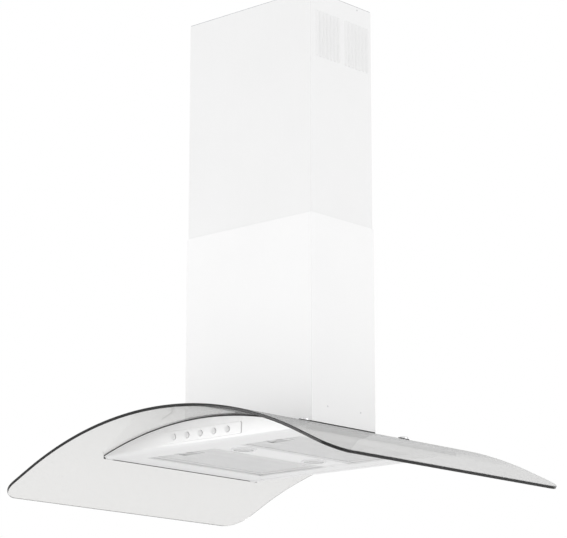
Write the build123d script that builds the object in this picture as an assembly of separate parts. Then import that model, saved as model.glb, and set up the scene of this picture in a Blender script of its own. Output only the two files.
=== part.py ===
from build123d import *
from math import asin, cos, radians, sin, sqrt, tan
import os

# Ceiling-hung range hood with a curved glass canopy.
# The origin is the middle of the ceiling mounting face. +Z is up, +X is the hood's right and the
# front with the controls faces -Y. Lengths are millimetres and angles are degrees.

os.makedirs("parts", exist_ok=True)

# ---- driving dimensions: hanging height and chimney ----
crest_drop = 870.0            # ceiling to the top of the glass at its crest
height_travel = 300.0         # how far the hood can be raised on its slotted frame
upper_width = 340.0           # upper chimney cover, along X
upper_depth = 190.0           # upper chimney cover, along Y
upper_length = 500.0
upper_top_gap = 2.0           # ceiling to the upper cover's top edge
lower_height = 403.0          # glass crest to the lower cover's top edge
cover_step = 2.0              # lower cover stands out this much on each side
cover_sheet = 0.8
cover_corner = 2.5            # folded corner, outer radius

# ---- driving dimensions: chimney vents ----
vent_count = 7                # slots in each of the two groups on a side face
vent_pitch = 11.0
vent_width = 4.0
vent_length = 94.0
vent_top = 42.0               # ceiling to the slots' top ends
vent_group_gap = 20.0
louvre_proud = 3.2            # how far the hood pressed over each slot stands out

# ---- driving dimensions: glass ----
glass_width = 900.0
glass_depth = 700.0
glass_thick = 6.0
glass_bend_radius = 820.0     # middle of the glass thickness
glass_flat = 90.0             # straight margin beside the bend, along X
glass_corner = 45.0
throat_width = 240.0          # air duct through the glass
throat_depth = 128.0
throat_corner = 14.0
throat_clear = 8.0            # duct wall to glass
fixing_side = 70.0            # body's side edge to the glass fixings
fixing_end = 77.0             # body's front or rear edge to them
glass_hole_r = 6.0
seal_thick = 2.5              # rubber between body and glass
seal_width = 8.0
seal_side = 1.5               # its lip down the body's left and right edges

# ---- driving dimensions: body under the glass ----
body_width = 540.0
body_depth = 454.0
body_drop = 59.5              # glass top at the crest down to the body's floor
body_sheet = 1.0
panel_fold = 7.0              # outer radius of the front and rear panels' bottom fold
panel_flange = 22.0
window_lip = 14.0             # upturned flange round the filter window

# ---- driving dimensions: filters, latches and lamps ----
filter_width = 167.0
floor_margin = 59.5           # body's edge to the filters, front and rear
filter_depth = body_depth - 2 * floor_margin
filter_thick = 9.0
filter_border = 10.0
filter_recess = 4.5           # filter face above the body's floor
filter_gap = 2.2
rail_width = 69.0             # strip between the filters
tray_width = 60.0
tray_depth = 46.0
tray_wall = 3.0
latch_travel = 6.0
latch_thick = 3.2
pin_r = 2.0
run_clear = 0.05              # radial clearance of pins and shafts that turn
part_gap = 0.5                # clearance between pieces that slide
lamp_inset = 64.0             # rail's end to the middle of each lamp
lamp_ring_r = 26.5
lamp_lens_r = 20.5
lamp_can_r = 23.0
lamp_can_height = 30.0

# ---- driving dimensions: controls ----
fascia_width = 216.0
fascia_height = 24.0
fascia_rise = 22.0            # body's floor to the middle of the fascia
fascia_thick = 2.0
button_names = ["power", "speed_low", "speed_mid", "speed_high", "light"]
button_pitch = 36.0
button_r = 6.0
button_travel = 1.5
button_proud = 2.2
control_box_depth = 38.0
control_box_height = 32.0

# ---- driving dimensions: frame ----
hanger_sheet = 1.5
angle_leg = 20.0
upper_angle_length = 520.0
lower_angle_length = 490.0
frame_screw_r = 2.0
frame_screw_pitch = 90.0
slot_clear = 0.5
ceiling_flange = 22.0
ceiling_bolt_x = 260.0
ceiling_bolt_y = 120.0
ceiling_hole_r = 4.5
duct_hole_r = 84.0
cable_hole_r = 8.0
cover_screw_y = 50.0
cover_screw_drop = 8.0        # ceiling to the upper cover's screws
plate_rise = 8.0              # glass top at the crest to the blower plate
plate_flange = 18.0

# ---- driving dimensions: blower ----
impeller_r = 90.0
impeller_width = 96.0
blade_depth = 13.0
blade_thick = 1.2
blade_count = 30
shaft_r = 4.0
motor_r = 40.0
motor_length = 46.0
scroll_gap = 8.0              # impeller to the scroll's tightest wall
scroll_growth = 12.0          # the scroll's radius grows this much each quarter turn
scroll_width = 124.0
scroll_wall = 2.0
scroll_neck = 30.0
scroll_foot = 10.0            # blower plate to the scroll's lowest point
inlet_r = 70.0
collar_r = 75.0
collar_wall = 1.5
collar_height = 56.0
adaptor_height = 34.0
flap_thick = 1.5
terminal_width = 46.0
terminal_depth = 70.0
terminal_height = 40.0
gland_r = 9.0
hub_y0 = -14.0                # the wheel's hub, from its mid plane
hub_y1 = 10.0
motor_y0 = hub_y1 + 6.0
motor_y1 = motor_y0 + motor_length
bore_end = 4.0                # closed end of the motor's bore

# ---- places worked out from the sizes above ----
half_w = glass_width / 2
half_d = glass_depth / 2
crest_mid = -crest_drop - glass_thick / 2
bend_centre = crest_mid - glass_bend_radius
bend_angle = asin((half_w - glass_flat) / glass_bend_radius)
glass_under = -glass_thick / 2
skin_top = glass_under - seal_thick
skin_under = skin_top - body_sheet
floor_z = -crest_drop - body_drop
frame_floor = floor_z + body_sheet
body_x = body_width / 2
body_y = body_depth / 2
glass_fix_x = body_x - fixing_side
glass_fix_y = body_y - fixing_end
filter_z = floor_z + filter_recess
rail_half = rail_width / 2
filter_x0 = rail_half + filter_gap
filter_x1 = filter_x0 + filter_width
window_x = filter_x1 + filter_gap
window_y = filter_depth / 2 + filter_gap
lamp_y = window_y - lamp_inset
cover_x = upper_width / 2
cover_y = upper_depth / 2
lower_x = cover_x + cover_step
lower_y = cover_y + cover_step
hanger_x = cover_x - cover_sheet - part_gap - hanger_sheet
hanger_y = cover_y - cover_sheet - part_gap - hanger_sheet
inner_x = hanger_x - hanger_sheet - part_gap
inner_y = hanger_y - hanger_sheet - part_gap
plate_z = -crest_drop + plate_rise
plate_top = plate_z + hanger_sheet
scroll_base = impeller_r + scroll_gap
shaft_z = plate_top + scroll_foot + scroll_wall + scroll_base + 2 * scroll_growth
lower_top = -crest_drop + lower_height


# ---- small helpers ----
def block(x0, x1, y0, y1, z0, z1):
    """A box between two corners."""
    size = Box(abs(x1 - x0), abs(y1 - y0), abs(z1 - z0))
    return Pos((x0 + x1) / 2, (y0 + y1) / 2, (z0 + z1) / 2) * size


def rod_x(r, x0, x1, y, z):
    return Pos((x0 + x1) / 2, y, z) * Rot(0, 90, 0) * Cylinder(r, abs(x1 - x0))


def rod_y(r, x, y0, y1, z):
    return Pos(x, (y0 + y1) / 2, z) * Rot(90, 0, 0) * Cylinder(r, abs(y1 - y0))


def prism(points, z0, z1):
    face = make_face(Polyline(*points, close=True))
    return Pos(0, 0, z0) * extrude(face, amount=z1 - z0, dir=(0, 0, 1))


def rod_z(r, x, y, z0, z1):
    return Pos(x, y, (z0 + z1) / 2) * Cylinder(r, abs(z1 - z0))


def rounded(x_size, y_size, r, z0, z1, x=0.0, y=0.0):
    """An upright prism with rounded corners."""
    flat = Pos(x, y, z0) * RectangleRounded(x_size, y_size, r)
    return extrude(flat, amount=z1 - z0)


def rounded_tube(x_size, y_size, r, wall, z0, z1):
    outer = rounded(x_size, y_size, r, z0, z1)
    return outer - rounded(x_size - 2 * wall, y_size - 2 * wall, r - wall, z0, z1)


def arch_z(x, offset):
    """Height of the surface that runs parallel to the glass, offset from the middle of it."""
    r = glass_bend_radius + offset
    x = abs(x)
    end = r * sin(bend_angle)
    if x <= end:
        return bend_centre + sqrt(r * r - x * x)
    return bend_centre + r * cos(bend_angle) - (x - end) * tan(bend_angle)


def arch_solid(offset, half_x, low, y0, y1):
    """Everything under that parallel surface, down to the height low."""
    r = glass_bend_radius + offset
    end = min(half_x, r * sin(bend_angle))
    z_end = arch_z(end, offset)
    edges = [ThreePointArc((-end, z_end), (0, bend_centre + r), (end, z_end))]
    left, right = (-end, z_end), (end, z_end)
    if half_x > end:
        z_side = arch_z(half_x, offset)
        edges += [Line((-half_x, z_side), left), Line(right, (half_x, z_side))]
        left, right = (-half_x, z_side), (half_x, z_side)
    edges += [Line(right, (half_x, low)), Line((half_x, low), (-half_x, low))]
    edges += [Line((-half_x, low), left)]
    slab = extrude(Plane.XZ * make_face(edges), amount=(y1 - y0) / 2, both=True)
    return Pos(0, (y0 + y1) / 2, 0) * slab


spare = 40.0                  # how far cutting shapes run past what they cut


def arch_band(low_offset, high_offset, half_x, y0, y1):
    """The layer between two surfaces parallel to the glass."""
    low = arch_z(half_x, low_offset) - spare
    return arch_solid(high_offset, half_x, low, y0, y1) - arch_solid(low_offset, half_x, low, y0, y1)


def corners(x, y):
    return [(sx * x, sy * y) for sx in (-1, 1) for sy in (-1, 1)]


def group(shapes):
    return Compound([solid for shape in shapes for solid in shape.solids()])


def save(name, shape):
    export_step(shape, "parts/" + name + ".step")


# ---- ceiling side: plate, slotted angles and their bolts ----
def ceiling_plate():
    x, y = hanger_x + hanger_sheet, hanger_y + hanger_sheet
    plate = block(-x, x, -y, y, -hanger_sheet, 0)
    plate -= rod_z(duct_hole_r, collar_x, 0, -hanger_sheet, 0)
    plate -= rod_z(cable_hole_r, gland_x, 0, -hanger_sheet, 0)
    for bx, by in corners(ceiling_bolt_x / 2, ceiling_bolt_y / 2):
        plate -= rod_z(ceiling_hole_r, bx, by, -hanger_sheet, 0)
    for sx in (-1, 1):
        flange = block(sx * hanger_x, sx * x, -y, y, -ceiling_flange, -hanger_sheet)
        for sy in (-1, 1):
            slot = frame_screw_r + slot_clear
            low = block(sx * hanger_x, sx * x, sy * cover_screw_y - slot, sy * cover_screw_y + slot,
                        -ceiling_flange, -cover_screw_drop)
            flange -= low + rod_x(slot, sx * hanger_x, sx * x, sy * cover_screw_y, -cover_screw_drop)
        plate += flange
    for bx, by in bolt_places(hanger_x, hanger_y):
        plate -= rod_z(frame_screw_r, bx, by, -hanger_sheet, 0)
    return plate


def bolt_places(x, y):
    """Middle of each angle's tab."""
    inset = hanger_sheet + (angle_leg - hanger_sheet) / 2
    return corners(x - inset, y - inset)


def angle(x, y, sx, sy, z0, z1):
    """An upright angle whose outer faces are at x and y."""
    leg_x = block(sx * (x - hanger_sheet), sx * x, sy * (y - angle_leg), sy * y, z0, z1)
    leg_y = block(sx * (x - angle_leg), sx * x, sy * (y - hanger_sheet), sy * y, z0, z1)
    return leg_x + leg_y


def angle_tab(x, y, sx, sy, z0, z1):
    tab = block(sx * (x - angle_leg), sx * x, sy * (y - angle_leg), sy * y, z0, z1)
    bx = sx * (x - hanger_sheet - (angle_leg - hanger_sheet) / 2)
    by = sy * (y - hanger_sheet - (angle_leg - hanger_sheet) / 2)
    return tab - rod_z(frame_screw_r, bx, by, z0, z1)


# The frame screws sit near the top of the lower angles and run in the upper angles' slots.
frame_screw_inset = 30.0
frame_screw_top = plate_top + lower_angle_length - frame_screw_inset
frame_screw_y = inner_y - hanger_sheet - (angle_leg - hanger_sheet) / 2


def upper_angle(sx, sy):
    top, low = -hanger_sheet, -hanger_sheet - upper_angle_length
    shape = angle(hanger_x, hanger_y, sx, sy, low, top)
    shape += angle_tab(hanger_x, hanger_y, sx, sy, top - hanger_sheet, top)
    slot = frame_screw_r + slot_clear
    z0 = frame_screw_top - frame_screw_pitch
    z1 = frame_screw_top + height_travel
    y = sy * frame_screw_y
    x0, x1 = sx * (hanger_x - hanger_sheet), sx * hanger_x
    cut = block(x0, x1, y - slot, y + slot, z0, z1)
    return shape - cut - rod_x(slot, x0, x1, y, z0) - rod_x(slot, x0, x1, y, z1)


def lower_angle(sx, sy):
    z1 = plate_top + lower_angle_length
    shape = angle(inner_x, inner_y, sx, sy, plate_top, z1)
    shape += angle_tab(inner_x, inner_y, sx, sy, plate_top, plate_top + hanger_sheet)
    for z in (frame_screw_top, frame_screw_top - frame_screw_pitch):
        shape -= rod_x(frame_screw_r, sx * (inner_x - hanger_sheet), sx * inner_x, sy * frame_screw_y, z)
    return shape


bolt_head_r = 4.0
bolt_head = 2.5


def plate_bolt(x, y, z_plate, z_tab):
    """A bolt through the plate and an angle's tab, with its head on the tab's side."""
    way = 1 if z_tab > z_plate else -1
    shank = rod_z(frame_screw_r, x, y, z_plate, z_tab)
    return shank + rod_z(bolt_head_r, x, y, z_tab, z_tab + way * bolt_head)


def frame_screws():
    shapes = []
    for sx, sy in corners(1, 1):
        for z in (frame_screw_top, frame_screw_top - frame_screw_pitch):
            y = sy * frame_screw_y
            x_head = inner_x - hanger_sheet
            shank = rod_x(frame_screw_r, sx * x_head, sx * (hanger_x - part_gap / 2), y, z)
            shapes.append(shank + rod_x(bolt_head_r, sx * (x_head - bolt_head), sx * x_head, y, z))
    return group(shapes)


tie_width = 7.0
tie_drop = 8.0


def frame_tie():
    """Ring that holds the four lower angles apart at their tops."""
    x, y = inner_x - hanger_sheet, inner_y - hanger_sheet
    z1 = plate_top + lower_angle_length - tie_drop
    ring = block(-x, x, -y, y, z1 - hanger_sheet, z1)
    ring -= block(-x + tie_width, x - tie_width, -y + tie_width, y - tie_width, z1 - hanger_sheet, z1)
    return ring


# ---- chimney covers ----
def vent_centres():
    first = vent_group_gap / 2 + vent_width / 2
    half = [first + i * vent_pitch for i in range(vent_count)]
    return [-y for y in half] + half


def louvre(sx, y, z0, z1):
    """Hood pressed over a slot. It rises from the front edge, has closed ends and opens to the rear."""
    y0, y1 = y - vent_width / 2, y + vent_width / 2
    x0, x1 = cover_x - cover_sheet, cover_x + louvre_proud
    shell = prism([(sx * x0, y0 - cover_sheet), (sx * cover_x, y0 - cover_sheet),
                   (sx * x1, y1), (sx * x0, y1)], z0 - cover_sheet, z1 + cover_sheet)
    return shell - prism([(sx * x0, y0), (sx * (x1 - cover_sheet), y1), (sx * x0, y1)], z0, z1)


def upper_cover():
    top = -upper_top_gap
    shape = rounded_tube(upper_width, upper_depth, cover_corner, cover_sheet, top - upper_length, top)
    z0, z1 = -vent_top - vent_length, -vent_top
    places = vent_centres()
    cuts, hoods = [], []
    for sx in (-1, 1):
        for y in places:
            cuts.append(block(sx * (cover_x - cover_sheet), sx * cover_x,
                              y - vent_width / 2, y + vent_width / 2, z0, z1))
            hoods.append(louvre(sx, y, z0, z1))
        for sy in (-1, 1):
            cuts.append(rod_x(frame_screw_r, sx * (cover_x - cover_sheet), sx * cover_x,
                              sy * cover_screw_y, -cover_screw_drop))
    return shape - cuts + hoods


def side_screws(x_face, x_end, y, z):
    """Pan head screws through the left and right faces."""
    shapes = []
    for sx, sy in corners(1, 1):
        shank = rod_x(frame_screw_r, sx * x_end, sx * x_face, sy * y, z)
        head = rod_x(bolt_head_r, sx * x_face, sx * (x_face + bolt_head - 0.5), sy * y, z)
        rim = head.edges().sort_by(Axis.X)
        shapes.append(shank + fillet(rim[-1] if sx > 0 else rim[0], 1.2))
    return group(shapes)


trim_height = 3.0
trim_width = 3.0


def lower_cover():
    low = arch_z(lower_x, 0) - 10
    tube = rounded_tube(2 * lower_x, 2 * lower_y, cover_corner, cover_sheet, low, lower_top)
    tube -= arch_solid(glass_thick / 2 + trim_height, lower_x + 5, low - 5, -lower_y - 5, lower_y + 5)
    z = plate_top + plate_flange / 2
    for sx, sy in corners(1, 1):
        tube -= rod_x(frame_screw_r, sx * (lower_x - cover_sheet), sx * lower_x, sy * cover_screw_y, z)
    return tube


def cover_trim():
    """Rubber strip between the lower cover and the glass."""
    low = arch_z(lower_x, 0) - 10
    ring = rounded_tube(2 * lower_x, 2 * lower_y, cover_corner + 1, trim_width, low, -crest_drop + 10)
    layer = arch_band(glass_thick / 2, glass_thick / 2 + trim_height, lower_x + 5, -lower_y - 5, lower_y + 5)
    return ring & layer


def blower_plate():
    """Carries the blower and the frame, above the glass."""
    x = lower_x - cover_sheet
    y = inner_y
    plate = block(-x, x, -y, y, plate_z, plate_top)
    opening = rounded(throat_width, throat_depth, throat_corner, plate_z, plate_top)
    plate -= opening
    for sx in (-1, 1):
        flange = block(sx * (x - hanger_sheet), sx * x, -y, y, plate_top, plate_top + plate_flange)
        for sy in (-1, 1):
            flange -= rod_x(frame_screw_r, sx * (x - hanger_sheet), sx * x,
                            sy * cover_screw_y, plate_top + plate_flange / 2)
        plate += flange
    for bx, by in bolt_places(inner_x, inner_y):
        plate -= rod_z(frame_screw_r, bx, by, plate_z, plate_top)
    return plate


# ---- glass and what holds it ----
def glass_canopy():
    glass = arch_band(-glass_thick / 2, glass_thick / 2, half_w, -half_d, half_d)
    low = arch_z(half_w, 0) - 20
    glass &= rounded(glass_width, glass_depth, glass_corner, low, -crest_drop + 10)
    glass -= rounded(throat_width + 2 * throat_clear, throat_depth + 2 * throat_clear,
                     throat_corner + throat_clear, low, -crest_drop + 10)
    for x, y in corners(glass_fix_x, glass_fix_y):
        glass -= rod_z(glass_hole_r, x, y, low, -crest_drop + 10)
    return glass


def throat_duct():
    """Sleeve that joins the body's top skin to the blower plate, through the glass."""
    low = arch_z(throat_width / 2, skin_top)
    sleeve = rounded_tube(throat_width, throat_depth, throat_corner, body_sheet, low - 5, plate_z)
    sleeve -= arch_solid(skin_top, throat_width, low - spare, -throat_depth, throat_depth)
    return sleeve


def glass_seal():
    """Rubber strip round the top of the body. Left and right it folds down over the body's edge."""
    low, high = floor_z - 5, -crest_drop + 5
    x_out = body_x + seal_side
    ring = block(-x_out, x_out, -body_y, body_y, low, high)
    ring -= block(-body_x + seal_width, body_x - seal_width, -body_y + seal_width,
                  body_y - seal_width, low, high)
    seal = ring & arch_band(skin_top, glass_under, x_out, -body_y, body_y)
    under = arch_solid(glass_under, x_out, floor_z, -body_y, body_y)
    for sx in (-1, 1):
        seal += under & block(sx * body_x, sx * x_out, -body_y, body_y, floor_z, high)
    return seal


washer_r = 11.0
cap_r = 9.0
cap_height = 2.5
glass_bolt_r = 3.0
nut_r = 6.5
nut_height = 5.0


def washer(x, y, low_offset, high_offset):
    layer = arch_band(low_offset, high_offset, abs(x) + 2 * washer_r, y - 2 * washer_r, y + 2 * washer_r)
    column = rod_z(washer_r, x, y, floor_z, -crest_drop) - rod_z(glass_bolt_r, x, y, floor_z, -crest_drop)
    return column & layer


washer_high = 1.5


def glass_cap(x, y):
    """Domed cap that closes on the upper washer."""
    seat = arch_z(x, glass_thick / 2 + washer_high)
    column = rod_z(cap_r, x, y, seat - 15, seat + cap_height)
    column = fillet(column.edges().sort_by(Axis.Z)[-1], cap_height * 0.6)
    column -= arch_solid(glass_thick / 2 + washer_high, abs(x) + 2 * cap_r, seat - spare,
                         y - 2 * cap_r, y + 2 * cap_r)
    return column - rod_z(glass_bolt_r, x, y, seat - 15, seat + cap_height / 2)


def glass_bolt(x, y):
    """Stud from the nut under the skin up into the cap."""
    top = arch_z(x, glass_thick / 2 + washer_high) + cap_height / 2
    nut_top = arch_z(abs(x) + nut_r, skin_under)
    stud = rod_z(glass_bolt_r, x, y, nut_top - nut_height, top)
    return stud + rod_z(nut_r, x, y, nut_top - nut_height, nut_top)


# ---- body under the glass ----
def top_skin():
    """Curved skin under the glass. Its side edges turn down and close on the floor ring."""
    skin = arch_band(skin_under, skin_top, body_x, -body_y, body_y)
    y_edge = body_y - panel_fold
    under = arch_solid(skin_under, body_x, frame_floor, -y_edge, y_edge)
    for sx in (-1, 1):
        skin += under & block(sx * (body_x - body_sheet), sx * body_x, -y_edge, y_edge,
                              frame_floor + body_sheet, -crest_drop)
    low, high = floor_z, -crest_drop
    skin -= rounded(throat_width - 2 * body_sheet, throat_depth - 2 * body_sheet,
                    throat_corner - body_sheet, low, high)
    for x, y in corners(glass_fix_x, glass_fix_y):
        skin -= rod_z(glass_bolt_r, x, y, low, high)
    return skin


def lunette_panel(sy):
    """Arched wall with a rounded fold along its bottom and a flange turned in under the body."""
    y_out, y_in = body_y, body_y - panel_flange
    high = -crest_drop + 20
    outer = block(-body_x, body_x, sy * y_in, sy * y_out, floor_z, high)
    edge = outer.edges().filter_by(Axis.X).sort_by(Axis.Z)[:2].sort_by(Axis.Y)
    outer = fillet(edge[-1] if sy > 0 else edge[0], panel_fold)
    inner = block(-body_x, body_x, sy * y_in, sy * (y_out - body_sheet), frame_floor, high)
    edge = inner.edges().filter_by(Axis.X).sort_by(Axis.Z)[:2].sort_by(Axis.Y)
    inner = fillet(edge[-1] if sy > 0 else edge[0], panel_fold - body_sheet)
    sheet = outer - inner
    return sheet & arch_solid(skin_under, body_x, floor_z - 5, -body_y, body_y)


fascia_z = floor_z + fascia_rise
fascia_lip = 2.0


def front_panel():
    panel = lunette_panel(-1)
    hole = Pos(0, -body_y, fascia_z) * Rot(90, 0, 0) * RectangleRounded(
        fascia_width - 2 * fascia_lip, fascia_height - 2 * fascia_lip, 3.0)
    return panel - extrude(hole, amount=2 * body_sheet + 1, both=True)


def body_frame():
    """Floor ring that lies on the panels' flanges, with a turned-up lip round the filters."""
    y_edge = body_y - panel_fold
    ring = block(-body_x, body_x, -y_edge, y_edge, frame_floor, frame_floor + body_sheet)
    x1, y1 = window_x + body_sheet, window_y + body_sheet
    ring += block(-x1, x1, -y1, y1, frame_floor, floor_z + window_lip)
    ring -= block(-window_x, window_x, -window_y, window_y, frame_floor, floor_z + window_lip)
    ring &= arch_solid(skin_under, body_x, frame_floor - 5, -body_y, body_y)
    for sx in (-1, 1):
        ring -= rod_x(pin_r + run_clear, sx * window_x, sx * x1, pin_y, pin_z)
        notch = latch_tongue / 2 + part_gap
        ring -= block(sx * filter_mid - notch, sx * filter_mid + notch, -y1, -window_y,
                      frame_floor, latch_z + latch_thick + part_gap)
    return ring


def lamp_rail():
    """Channel between the filters. It carries the lamps and the filters' inner pins."""
    z1 = floor_z + window_lip
    rail = block(-rail_half, rail_half, -window_y, window_y, filter_z, z1)
    rail -= block(-rail_half + body_sheet, rail_half - body_sheet, -window_y, window_y,
                  filter_z + body_sheet, z1)
    for sy in (-1, 1):
        rail -= rod_z(lamp_can_r, 0, sy * lamp_y, filter_z, filter_z + body_sheet)
    for sx in (-1, 1):
        rail -= rod_x(pin_r + run_clear, sx * (rail_half - body_sheet), sx * rail_half, pin_y, pin_z)
    return rail


def lamp_ring(y):
    """Bezel that clips into the rail from below."""
    low = filter_z - 1.5
    ring = rod_z(lamp_ring_r, 0, y, low, filter_z)
    ring = chamfer(ring.edges().sort_by(Axis.Z)[0], 1.0)
    ring += rod_z(lamp_can_r, 0, y, filter_z, filter_z + 4)
    return ring - rod_z(lamp_lens_r, 0, y, low, filter_z + 4)


def lamp_lens(y):
    return rod_z(lamp_lens_r, 0, y, filter_z - 0.6, filter_z + 2.4)


def lamp_can(y):
    """Lamp body above its lens, with cooling grooves and a socket."""
    z0 = filter_z + 4
    can = rod_z(lamp_can_r, 0, y, z0, z0 + lamp_can_height)
    for i in range(3):
        z = z0 + 8 + 6 * i
        can -= rod_z(lamp_can_r, 0, y, z, z + 2.5) - rod_z(lamp_can_r - 4, 0, y, z, z + 2.5)
    cup = rod_z(lamp_can_r - 6, 0, y, z0, z0 + 10)
    return can - cup


# ---- filters ----
filter_mid = filter_x0 + filter_width / 2
filter_y = filter_depth / 2
pin_y = filter_y - pin_r - 1.5
pin_z = filter_z + pin_r + 1.0
pin_reach = 0.2
tray_lip = 1.2
latch_z = filter_z + tray_lip + part_gap
latch_width = tray_width - 2 * tray_wall - 2 * part_gap
latch_depth = tray_depth - 2 * tray_wall - latch_travel - 2 * part_gap
latch_tongue = 16.0
tongue_reach = 1.5
mesh_thick = 5.0
mesh_inset = 1.5
tray_y0 = -filter_y
tray_y1 = -filter_y + tray_depth


def filter_frame(sx):
    """Aluminium channel round the mesh, with a latch tray at the front and two pins at the rear."""
    x0, x1 = sx * filter_x0, sx * filter_x1
    z1 = filter_z + filter_thick
    frame = block(x0, x1, -filter_y, filter_y, filter_z, z1)
    b0, b1 = sx * (filter_x0 + filter_border), sx * (filter_x1 - filter_border)
    inner_end = filter_y - filter_border
    frame -= block(b0, b1, -inner_end, inner_end, filter_z, z1)
    mid = sx * filter_mid
    frame += block(mid - tray_width / 2, mid + tray_width / 2, tray_y0, tray_y1, filter_z, z1)
    half = tray_width / 2 - tray_wall
    frame -= block(mid - half, mid + half, tray_y0 + tray_wall, tray_y1 - tray_wall,
                   filter_z + tray_lip, latch_z + latch_thick + part_gap)
    frame -= block(mid - half + 3, mid + half - 3, tray_y0 + tray_wall, tray_y1 - tray_wall,
                   filter_z, filter_z + tray_lip)
    tongue = latch_tongue / 2 + part_gap
    frame -= block(mid - tongue, mid + tongue, tray_y0, tray_y0 + tray_wall,
                   latch_z - part_gap, latch_z + latch_thick + part_gap)
    reach = filter_gap + body_sheet + pin_reach
    frame += rod_x(pin_r, sx * (filter_x0 - reach), sx * filter_x0, pin_y, pin_z)
    frame += rod_x(pin_r, sx * filter_x1, sx * (filter_x1 + reach), pin_y, pin_z)
    return frame


def filter_mesh(sx):
    """Pack of expanded metal layers held in the channel."""
    b0, b1 = sx * (filter_x0 + filter_border), sx * (filter_x1 - filter_border)
    inner_end = filter_y - filter_border
    z0 = filter_z + mesh_inset
    pack = block(b0, b1, -inner_end, inner_end, z0, z0 + mesh_thick)
    mid = sx * filter_mid
    return pack - block(mid - tray_width / 2, mid + tray_width / 2, tray_y0, tray_y1, z0, z0 + mesh_thick)


knob_r = 5.0
knob_drop = 2.0
knob_offset = 15.0


def filter_latch(sx):
    """Sprung slide with a finger knob. Its tongue reaches into a notch of the body's front lip."""
    mid = sx * filter_mid
    y0 = tray_y0 + tray_wall + part_gap
    z1 = latch_z + latch_thick
    slide = block(mid - latch_width / 2, mid + latch_width / 2, y0, y0 + latch_depth, latch_z, z1)
    reach = y0 - (-window_y - body_sheet - tongue_reach)
    slide += block(mid - latch_tongue / 2, mid + latch_tongue / 2, y0 - reach, y0, latch_z, z1)
    slide += rod_z(knob_r, mid - knob_offset, y0 + knob_r + 2, filter_z - knob_drop, latch_z)
    grip = block(mid - 4, mid + latch_width / 2 - 5, y0 + 6, y0 + latch_depth - 6, latch_z, latch_z + 2)
    return slide - grip


# ---- controls ----
def fascia_face(inset, y):
    return Pos(0, y, fascia_z) * Rot(90, 0, 0) * RectangleRounded(
        fascia_width - 2 * inset, fascia_height - 2 * inset, 4.0 - inset / 2)


button_x = [(i - (len(button_names) - 1) / 2) * button_pitch for i in range(len(button_names))]


def control_fascia():
    """Bezel on the front panel, with a step that sits in the panel's opening."""
    face_y = -body_y - fascia_thick
    bezel = extrude(fascia_face(0, -body_y), amount=fascia_thick)
    bezel = chamfer(bezel.faces().sort_by(Axis.Y)[0].outer_wire().edges(), 0.6)
    step = extrude(fascia_face(fascia_lip, -body_y), amount=-body_sheet)
    bezel += step
    for x in button_x:
        bezel -= rod_y(button_r + part_gap, x, face_y, -body_y + body_sheet, fascia_z)
    return bezel


def control_button(x):
    """Push cap with a collar that keeps it behind the fascia."""
    front = -body_y - fascia_thick - button_proud
    back = -body_y + body_sheet + part_gap
    cap = rod_y(button_r, x, front, back, fascia_z)
    cap = fillet(cap.edges().sort_by(Axis.Y)[0], 1.0)
    collar_thick = 1.5
    return cap + rod_y(button_r + 2, x, back, back + collar_thick, fascia_z)


switch_gap = 2.5
switch_size = 6.0
board_height = 20.0
board_thick = 1.6
board_inset = 6.0             # fascia's end to the board's end


def switch_board():
    """Circuit board with one small switch behind each button."""
    back = -body_y + body_sheet + part_gap + 1.5
    y0 = back + button_travel + switch_gap
    half = fascia_width / 2 - board_inset
    board = block(-half, half, y0, y0 + board_thick, fascia_z - board_height / 2, fascia_z + board_height / 2)
    key = switch_size / 2
    for x in button_x:
        board += block(x - key, x + key, y0 - switch_gap + part_gap, y0, fascia_z - key, fascia_z + key)
    return board


def control_box():
    """Moulded tray behind the front panel. It holds the board and stands on the body's floor."""
    wall = 1.5
    half = fascia_width / 2 + 2
    z0 = frame_floor + body_sheet
    z1 = z0 + control_box_height
    y0 = -body_y + body_sheet + part_gap + 1.5 + button_travel
    y1 = -body_y + control_box_depth
    box = block(-half, half, y0, y1, z0, z1)
    box -= block(-half + wall, half - wall, y0, y1 - wall, z0 + wall, z1 - wall)
    y_board = y0 + switch_gap + board_thick
    for sx in (-1, 1):
        x0, x1 = sx * (fascia_width / 2 - board_inset), sx * (half - wall)
        box += block(x0, x1, y_board - 3, y_board + 3, z0, z1)
        box += block(x0 - sx * 10, x1, y_board, y_board + 3, z0, z1)
    return box


# ---- blower ----
scroll_r = scroll_base + scroll_growth
neck_x0 = -scroll_growth - scroll_r - scroll_wall
neck_x1 = neck_x0 + 2 * collar_r
neck_top = shaft_z + scroll_r + scroll_neck
collar_x = (neck_x0 + neck_x1) / 2
collar_z = neck_top + adaptor_height
flap_z = collar_z + 6.0


def scroll_form(shrink, y0, y1, z_end):
    """Eccentric drum with a straight neck up its wide side."""
    drum = rod_y(scroll_r + scroll_wall - shrink, -scroll_growth, y0, y1, shaft_z)
    return drum + block(neck_x0 + shrink, neck_x1 - shrink, y0, y1, shaft_z, z_end)


def blower_housing(sy):
    """One half of the scroll, split on the wheel's mid plane, with an inlet in its outer wall."""
    outer = scroll_form(0, 0, sy * scroll_width / 2, neck_top)
    inner = scroll_form(scroll_wall, 0, sy * (scroll_width / 2 - scroll_wall), neck_top)
    half = outer - inner
    wall_y0, wall_y1 = sy * (scroll_width / 2 - scroll_wall), sy * scroll_width / 2
    half -= rod_y(inlet_r, 0, wall_y0, wall_y1, shaft_z)
    lip = rod_y(inlet_r + 3, 0, wall_y1, wall_y1 + sy * 4, shaft_z)
    half += lip - rod_y(inlet_r, 0, wall_y1, wall_y1 + sy * 4, shaft_z)
    for x, z in lug_places():
        half += rod_y(lug_r, x, 0, sy * lug_length, z) - scroll_form(1, 0, sy * scroll_width, neck_top)
        half -= rod_y(frame_screw_r, x, 0, sy * lug_length, z)
    return half


lug_r = 5.5
lug_length = 10.0


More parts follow.
